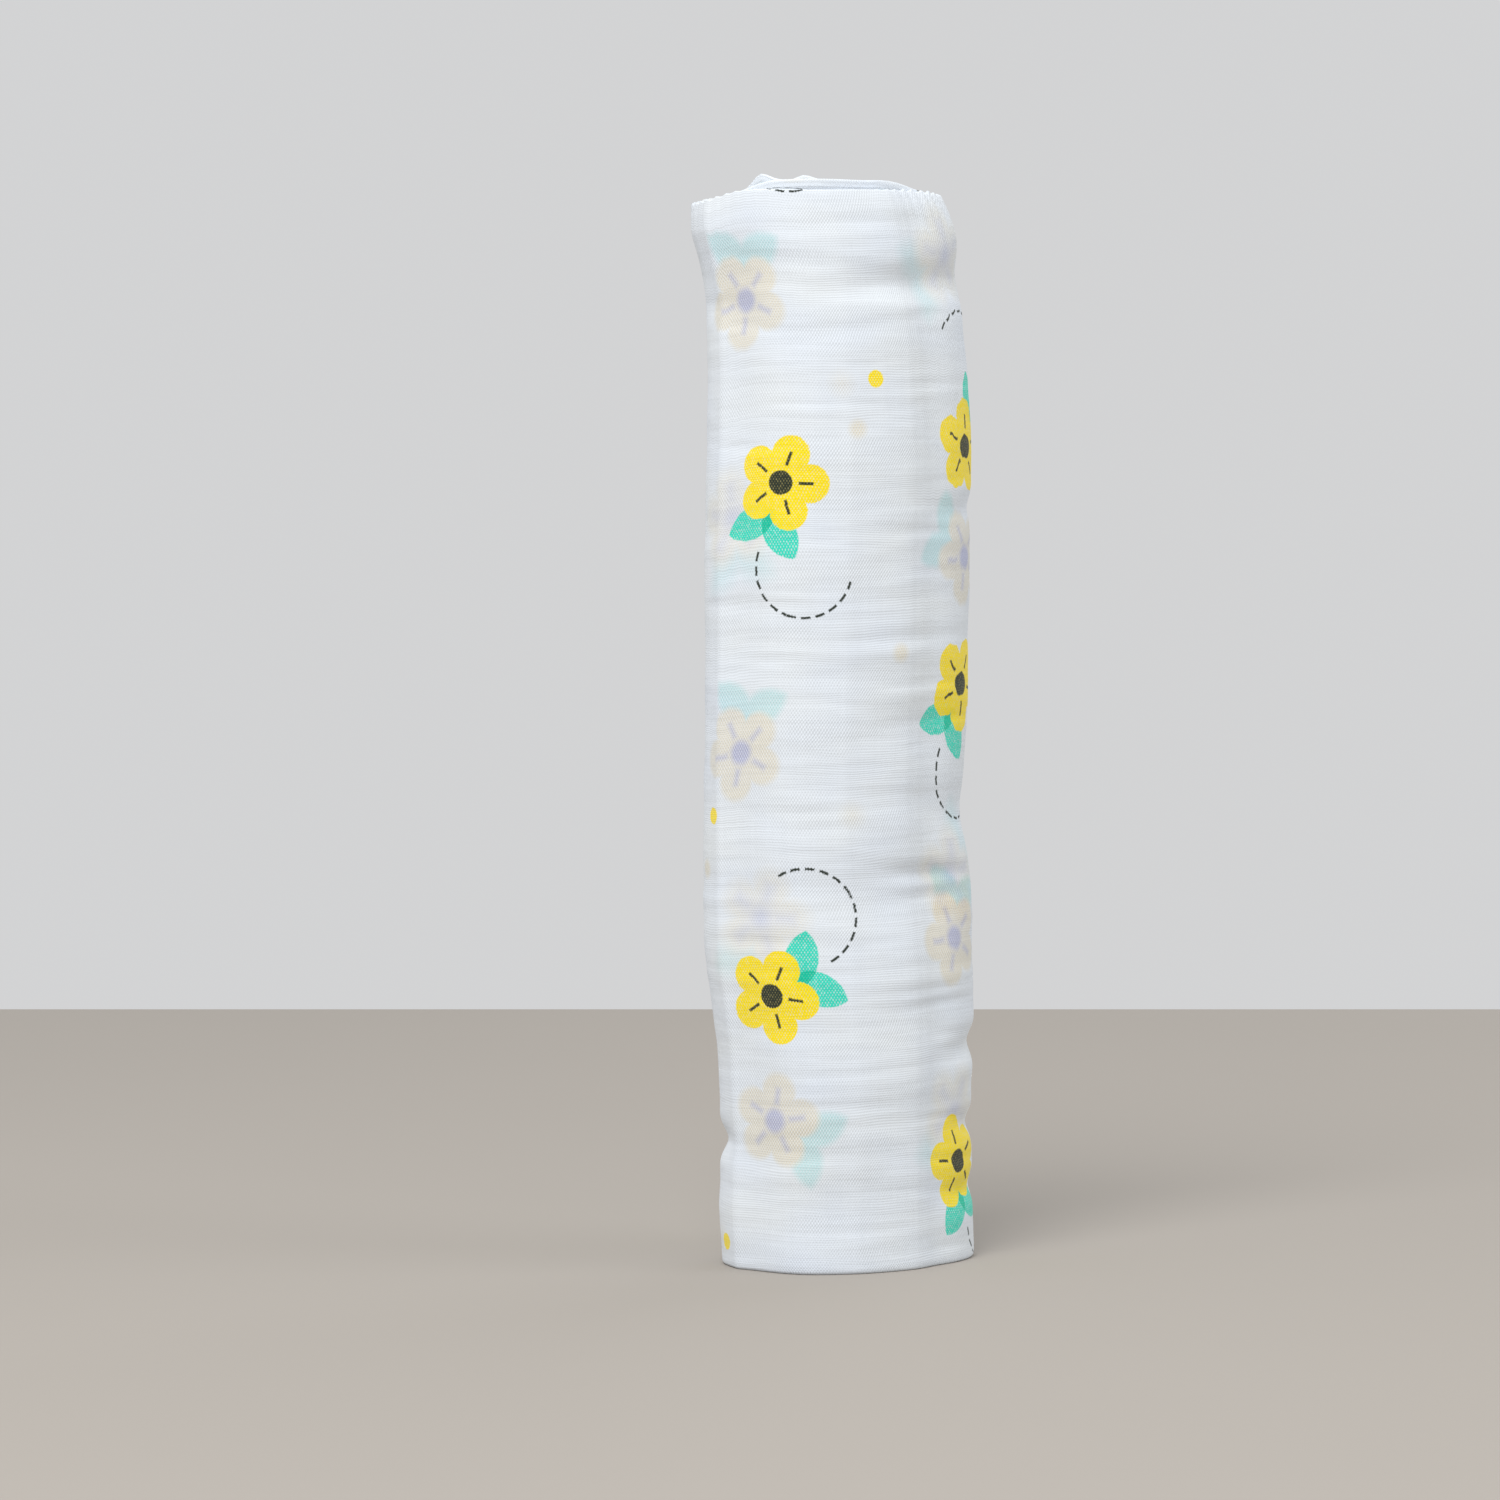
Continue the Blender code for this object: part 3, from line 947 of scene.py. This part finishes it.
# In mm: where the leaves lie, the radius of a leaf's two circles and how far their middles are from its
# own, and the stem's arc with its top above the arc's middle and its half width
LEAF_ASIDE = 4.6
LEAF_BELOW = 13.2
LEAF_TURN = np.radians(-52.0)
LEAF_CIRCLE = 9.6
LEAF_APART = 5.0
STEM_MIDDLE = (14.0, -20.0, 0.0)
STEM_RADIUS = 13.6
STEM_TOP = 1.0
STEM_HALF_WIDTH = 0.36
DASHES = 3.4                # for each radian
DASH_SHARE = 0.66           # what of each is drawn


def sprig_group(flower):
    """One sprig, in mm from its flower's middle, as masks.

    The flower's outline is its radius times NOTCH + PETAL_RISE |cos(PETALS angle / 2)|^PETAL_POWER. The
    sine of the same angle tells how far a place is from a petal's middle line, where its mark is. Each
    leaf is where two circles cross. The stem is a dashed arc.
    """
    group, (place, soft) = new_group("sprig", {"Place": None, "Softness": 0.3})
    x, y = split(place)[:2]
    flat = joined(group, x, y)
    radius = flat.maths("LENGTH")
    lobe = x.maths("ARCTAN2", y) * (PETALS / 2)
    wave = abs(lobe.maths("COSINE")).maths("POWER", PETAL_POWER)
    petals = inside(radius - (wave * (PETAL_RISE * flower) + NOTCH * flower), soft)

    heart = inside(radius - HEART * flower, soft)
    beside = abs(lobe.maths("SINE")) * radius * (2 / PETALS) - MARK_HALF_WIDTH
    beyond = abs(radius - MARK * flower) - MARK_HALF * flower
    marks = inside(most(beside, beyond), soft)

    leaves = []
    for side in (-1, 1):
        turned = rotated(joined(group, x * side - LEAF_ASIDE, y + LEAF_BELOW), LEAF_TURN)
        circles = [turned.maths("DISTANCE", (apart, 0.0, 0.0)) for apart in (-LEAF_APART, LEAF_APART)]
        leaves.append(inside(most(*circles) - LEAF_CIRCLE, soft))

    bend = flat - STEM_MIDDLE
    bend_x, bend_y = split(bend)[:2]
    off = abs(bend.maths("LENGTH") - STEM_RADIUS)
    dash = (bend_x.maths("ARCTAN2", bend_y) * DASHES).maths("FRACT")
    gap = (dash - DASH_SHARE) * (STEM_RADIUS / DASHES)
    stem = inside(most(off - STEM_HALF_WIDTH, gap, bend_y - STEM_TOP), soft)
    return close_group(group, Petals=petals, Leaves=most(*leaves), Stem=stem, Heart=most(heart, marks),
                       Crossing=leaves[0].maths("MINIMUM", leaves[1]))


# How the print lies on the cloth, in mm: where it starts, how far each sprig and dot strays, where the
# dot lies from its cell's middle, on either side, and from the flower to the middle of its sprig
PRINT_START = (50.0, 45.0, 0.0)
SPRIG_STRAY = (8.0, 40.0, 0.0)
DOT_PLACE = (24.0, 50.0)
DOT_STRAY = (8.0, 8.0, 0.0)
SPRIG_MIDDLE = (7.0, -10.0, 0.0)
REPEAT = (4.0, 4.0)         # columns and rows of cells before the print repeats
CHANCE = 11.0               # picks one set of random places and turns
ANOTHER = (7.0, 7.0, 7.0)   # makes further random numbers of a cell's first ones


def print_group(look):
    """The whole print on the flat cloth, in mm, as masks for its inks.

    The cloth is laid out in cells, and every other column of them half a cell higher. Each cell holds
    a sprig and a dot. Random numbers that depend on the cell alone move both and turn the sprig.
    """
    group, (cloth, soft) = new_group("sprig print", {"Cloth": None, "Softness": 0.3})
    width = look.spacing_round / MM
    height = look.spacing_up / MM
    x, y = split((cloth + PRINT_START) / (width, height, 1.0))[:2]
    column_number = x.maths("FLOOR")
    raised = column_number.maths("PINGPONG", 1.0) * 0.5 + y
    row_number = raised.maths("FLOOR")
    cell = joined(group, column_number.maths("MODULO", REPEAT[0]),
                  row_number.maths("MODULO", REPEAT[1]), CHANCE)
    chance = made(group, "ShaderNodeTexWhiteNoise", {"Vector": cell}, "Color", noise_dimensions="3D")
    inner = joined(group, x.maths("FRACT"), raised.maths("FRACT"))
    place = inner * (width, height, 0.0) - (width / 2, height / 2, 0.0)

    strays = chance - (0.5, 0.5, 0.5)
    angle = split(chance)[2] * (2 * np.pi)
    turned = rotated(place - strays * SPRIG_STRAY, angle)
    sprig = use_group(group, sprig_group(look.flower / MM), Place=turned + SPRIG_MIDDLE, Softness=soft)

    again = (chance * ANOTHER).maths("FRACTION")
    aside, above = DOT_PLACE
    middle = again.maths("SNAP", (0.5, 1.0, 1.0)) * (4 * aside, 0.0, 0.0) + (-aside, above, 0.0)
    away = place.maths("DISTANCE", strays * DOT_STRAY + middle)
    dot = inside(away - look.dot / MM, soft)
    return close_group(group, Yellow=most(sprig["Petals"], dot), Mint=sprig["Leaves"],
                       Crossing=sprig["Crossing"], Charcoal=sprig["Heart"], Stem=sprig["Stem"])


# The gauze: how far its threads stray, in mm, the height of its ribs, a share of the plain weave's, how
# the noise that chooses between the two is scaled and shifted, and the warp's share in the slubs
THREADS_STRAY = (2.0, -4.0)
RIBS = 0.3
PLAINNESS = (4.0, -1.35)
WARP_SLUBS = 0.4
# What each adds to the height, and to the shade that the threads paint on the cloth's colour
WEAVE_HEIGHT = 0.6
SLUBS_HEIGHT = 0.5
CRINKLE_HEIGHT = 2.6
WEAVE_SHADE = 0.28
SLUBS_SHADE = 0.45


def gauze_group():
    """Double gauze, in mm on the flat cloth: its height, the shade that its threads paint on its colour,
    and its gaps.

    Where it shows as a plain weave, the height is the product of a sine each way, one thread wide.
    Where it shows as ribs, it is a cosine across them. Slow noise shifts the threads and decides
    between the two. Long thin noise makes some threads thicker, and wide noise crinkles the cloth. The
    gaps follow the plain weave alone.
    """
    group, (cloth, warp, weft) = new_group("double gauze", {"Cloth": None, "Warp": 0.43, "Weft": 0.68})
    wander = noise(cloth, (0.02, 0.05, 0.0)) - 0.5
    x, y = split(cloth + joined(group, *(wander * stray for stray in THREADS_STRAY)))[:2]
    warps = x / warp * np.pi
    wefts = y / weft * np.pi
    plain = warps.maths("SINE") * wefts.maths("SINE")
    ribs = (wefts * 2.0).maths("COSINE") * RIBS
    plainness = noise(cloth, (0.025, 0.09, 0.0)).maths("MULTIPLY_ADD", *PLAINNESS, clamp=True)
    weave = made(group, "ShaderNodeMix", {"Factor": plainness, "A": ribs, "B": plain})
    thick_wefts = noise(cloth, (0.03, 1.2, 0.0)) - 0.5
    thick_warps = noise(cloth, (1.2, 0.03, 0.0)) - 0.5
    slubs = thick_warps * WARP_SLUBS + thick_wefts
    crinkle = noise(cloth, (0.045, 0.20, 0.0), detail=1.0) - 0.5
    height = weave * WEAVE_HEIGHT + slubs * SLUBS_HEIGHT + crinkle * CRINKLE_HEIGHT
    threads = (weave * WEAVE_SHADE + slubs * SLUBS_SHADE).maths("ADD", 0.5, clamp=True)
    return close_group(group, Height=height, Threads=threads, Gaps=plain * -0.5 + 0.5)


# What the inks of a layer beneath leave of the light, seen through the gauze over them
SEEN_THROUGH = {
    "Mint": (0.72, 0.94, 0.92),
    "Yellow": (1.0, 0.90, 0.73),
    "Charcoal": (0.62, 0.60, 0.76),
}
# How much of each ink is missing where it is patchy
MISSED = {"Mint": 0.75, "Crossing": 0.3, "Yellow": 0.42, "Charcoal": 0.25, "Stem": 0.1}
# In mm, over which the edges of the print fade: on top, one layer down and two layers down
SOFTNESS = (0.3, 2.0, 5.0)
FRAY = 0.5                  # in mm, how far the threads draw those on top
SHIFTS = (1.6, 6.0)         # in mm, how far the two layers beneath lie along the cloth
FURTHER_SHOWS = 0.5         # how much the second shows beside the first
GAPS_SHOW = 1.4             # how much more shows through a gap than through a thread
THREADS_SHOW = 0.3


def muslin_material(sizes, cloth, look):
    """Printed double gauze. The cloth beneath shows through, upside down because it is folded under."""
    material = bpy.data.materials.new("printed muslin")
    material.use_nodes = True
    tree = material.node_tree
    tree.nodes.clear()
    side = sizes.cloth_side / MM
    place = made(tree, "ShaderNodeUVMap", output="UV", uv_map=CLOTH_MAP) * (side, side, 0.0)
    gauze = use_group(tree, gauze_group(), Cloth=place, Warp=cloth.warp / MM, Weft=cloth.weft / MM)
    threads, gaps = gauze["Threads"], gauze["Gaps"]
    fray = (threads - 0.5) * FRAY
    motif = print_group(look)
    on_top, below_one, below_two = SOFTNESS
    ink = use_group(tree, motif, Cloth=place + joined(tree, fray, fray), Softness=on_top)

    patches = noise(place, (0.03, 0.045, 0.0))
    tint = mixed(tree, patches, opaque(cloth.white), opaque(cloth.cream))
    mirrored = place * (1.0, -1.0, 0.0) + (SHIFTS[0], side, 0.0)
    further = place + (SHIFTS[1], side / 2, 0.0)
    seen = look.seen_through
    for layer, softness, shown in ((further, below_two, FURTHER_SHOWS * seen),
                                   (mirrored, below_one, seen)):
        below = use_group(tree, motif, Cloth=layer, Softness=softness)
        left = opaque((1.0, 1.0, 1.0))
        for name, value in SEEN_THROUGH.items():
            left = mixed(tree, below[name], left, opaque(value))
        tint = mixed(tree, (gaps * GAPS_SHOW + THREADS_SHOW) * shown, tint, left, blend="MULTIPLY")

    # The print is patchy in the gaps between the threads
    patchy = noise(place, (0.8, 1.0, 0.0)) * 0.9 + gaps
    bare = patchy.maths("MULTIPLY_ADD", 2.2, -2.2, clamp=True)
    inks = {"Mint": look.mint, "Crossing": look.teal, "Yellow": look.yellow,
            "Charcoal": look.charcoal, "Stem": look.charcoal}
    for name, value in inks.items():
        tint = mixed(tree, ink[name] * (bare * -MISSED[name] + 1.0), tint, opaque(value))
    # Painted shade of the weave: the colour is darker between the threads and lighter on them. The thicker
    # threads' own tone goes in with it.
    shade = made(tree, "ShaderNodeMapRange", {"Value": threads, "From Min": 0.2, "From Max": 0.8,
                                              "To Min": 0.90, "To Max": 1.035})
    tint = mixed(tree, 1.0, tint, shade, blend="MULTIPLY")

    printed = most(ink["Yellow"], ink["Mint"], ink["Charcoal"])
    bump = made(tree, "ShaderNodeBump", {"Height": gauze["Height"], "Strength": 1.0,
                                         "Distance": cloth.relief})
    shader = made(tree, "ShaderNodeBsdfPrincipled", {
        "Base Color": tint, "Roughness": printed * -0.10 + cloth.roughness, "Normal": bump,
        "Sheen Weight": 0.12, "Sheen Roughness": 0.6, "Specular IOR Level": 0.25})
    add_node(tree, "ShaderNodeOutputMaterial", {"Surface": shader})
    return material


# ---- The stage ----

FLOOR_REACH = 3.0           # to the front and to both sides, in metres
FLOOR_COLOUR = (0.41, 0.38, 0.345)
SKY_COLOUR = (0.985, 0.99, 1.0)
WARM = (1.0, 0.985, 0.97)
COOL = (0.97, 0.985, 1.0)

# The lamps, in metres, which all point at one place on the roll
LAMPS = table(
    "name place width colour",
    ("key", (-0.54, -1.38, 1.80), 1.3, WARM),
    ("side_light", (1.5, -0.4, 1.1), 1.0, COOL),
    ("back_light", (0.9, 1.5, 1.25), 1.3, COOL),
)
AIM = (0.0, 0.0, 0.16)


def stage_material(name, colour, roughness):
    """A plain painted surface with faint mottling, so that it isn't one flat tone."""
    material = bpy.data.materials.new(name)
    material.use_nodes = True
    tree = material.node_tree
    shader = tree.nodes["Principled BSDF"]
    place = made(tree, "ShaderNodeTexCoord", output="Object")
    mottle = made(tree, "ShaderNodeTexNoise", {"Vector": place, "Scale": 3.0, "Detail": 3.0}, "Fac")
    darker = tuple(0.97 * value for value in colour)
    plug(tree, shader.inputs["Base Color"], mixed(tree, mottle, opaque(darker), opaque(colour)))
    shader.inputs["Roughness"].default_value = roughness
    shader.inputs["Specular IOR Level"].default_value = 0.1
    return material


def add_object(name, data):
    added = bpy.data.objects.new(name, data)
    bpy.context.scene.collection.objects.link(added)
    return added


def add_floor(stage):
    left, right, front, back = -FLOOR_REACH, FLOOR_REACH, -FLOOR_REACH, stage.floor_behind
    mesh = bpy.data.meshes.new("studio_floor")
    corners = [(left, front, 0), (right, front, 0), (right, back, 0), (left, back, 0)]
    mesh.from_pydata(corners, [], [(0, 1, 2, 3)])
    mesh.materials.append(stage_material("pale floor", FLOOR_COLOUR, 0.9))
    plane = add_object("studio_floor", mesh)


def add_area_light(lamp, power):
    data = bpy.data.lights.new(lamp.name, "AREA")
    data.shape = "DISK"
    data.size = lamp.width
    data.energy = power
    data.color = lamp.colour
    light = add_object(lamp.name, data)
    light.location = lamp.place
    away = light.location - Vector(AIM)
    light.rotation_euler = away.to_track_quat("Z", "Y").to_euler()


def add_surround(strength):
    world = bpy.data.worlds.new("studio")
    world.use_nodes = True
    background = world.node_tree.nodes["Background"]
    background.inputs["Color"].default_value = opaque(SKY_COLOUR)
    background.inputs["Strength"].default_value = strength
    bpy.context.scene.world = world


def add_camera(stage):
    data = bpy.data.cameras.new("camera")
    data.sensor_width = 36.0
    data.lens = stage.lens
    data.clip_end = 20.0
    camera = add_object("camera", data)
    camera.location = stage.camera_place
    camera.rotation_euler = (np.pi / 2 - stage.camera_dip, 0.0, 0.0)
    bpy.context.scene.camera = camera


# ---- Operators and panel ----

class MUSLIN_OT_rolled_cloth(bpy.types.Operator):
    """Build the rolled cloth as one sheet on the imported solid's folds"""
    bl_idname = "muslin.rolled_cloth"
    bl_label = "Rolled cloth"

    def execute(self, context):
        scene = context.scene
        sizes = scene.muslin_sizes
        rolling = Rolling(sizes)
        panel, panel_map = panel_surface(rolling)
        strip, strip_map, kept = strip_surface(rolling)
        shift = centred_on_node(panel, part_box(NODE))
        surfaces = ((panel + shift, panel_map, None), (strip + shift, strip_map, kept))
        mesh = sheet_mesh("rolled_muslin", surfaces)
        mesh.materials.append(muslin_material(sizes, scene.muslin_cloth, scene.muslin_print))
        cloth = add_object("rolled_muslin", mesh)
        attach(cloth, BODY)
        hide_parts(NODE)
        return {"FINISHED"}


class MUSLIN_OT_stage(bpy.types.Operator):
    """Add the plain floor, the soft light and the camera"""
    bl_idname = "muslin.stage"
    bl_label = "Stage"

    def execute(self, context):
        stage = context.scene.muslin_stage
        add_floor(stage)
        for lamp, power in zip(LAMPS, (stage.key, stage.side, stage.back)):
            add_area_light(lamp, power)
        add_surround(stage.sky)
        context.scene.view_settings.view_transform = "Standard"
        add_camera(stage)
        return {"FINISHED"}


class MUSLIN_PT_panel(bpy.types.Panel):
    """The blanket's sizes, looks and building steps"""
    bl_idname = "MUSLIN_PT_panel"
    bl_label = "Muslin blanket"
    bl_space_type = "VIEW_3D"
    bl_region_type = "UI"
    bl_category = "Muslin"

    def draw(self, context):
        for group in SETTINGS:
            settings = getattr(context.scene, group)
            box = self.layout.box()
            for name in settings.__annotations__:
                box.prop(settings, name)
        for operator in OPERATORS:
            self.layout.operator(operator.bl_idname)


OPERATORS = (MUSLIN_OT_rolled_cloth, MUSLIN_OT_stage)
SETTINGS = {
    "muslin_sizes": MuslinRollSizes,
    "muslin_print": MuslinPrintLook,
    "muslin_cloth": MuslinClothLook,
    "muslin_stage": MuslinStage,
}
KINDS = (*SETTINGS.values(), *OPERATORS, MUSLIN_PT_panel)


def register():
    for kind in KINDS:
        bpy.utils.register_class(kind)
    for name, kind in SETTINGS.items():
        setattr(bpy.types.Scene, name, PointerProperty(type=kind))


def unregister():
    for name in SETTINGS:
        delattr(bpy.types.Scene, name)
    for kind in reversed(KINDS):
        bpy.utils.unregister_class(kind)


def main():
    register()
    bpy.ops.muslin.rolled_cloth()
    bpy.ops.muslin.stage()


if __name__ == "__main__":
    main()
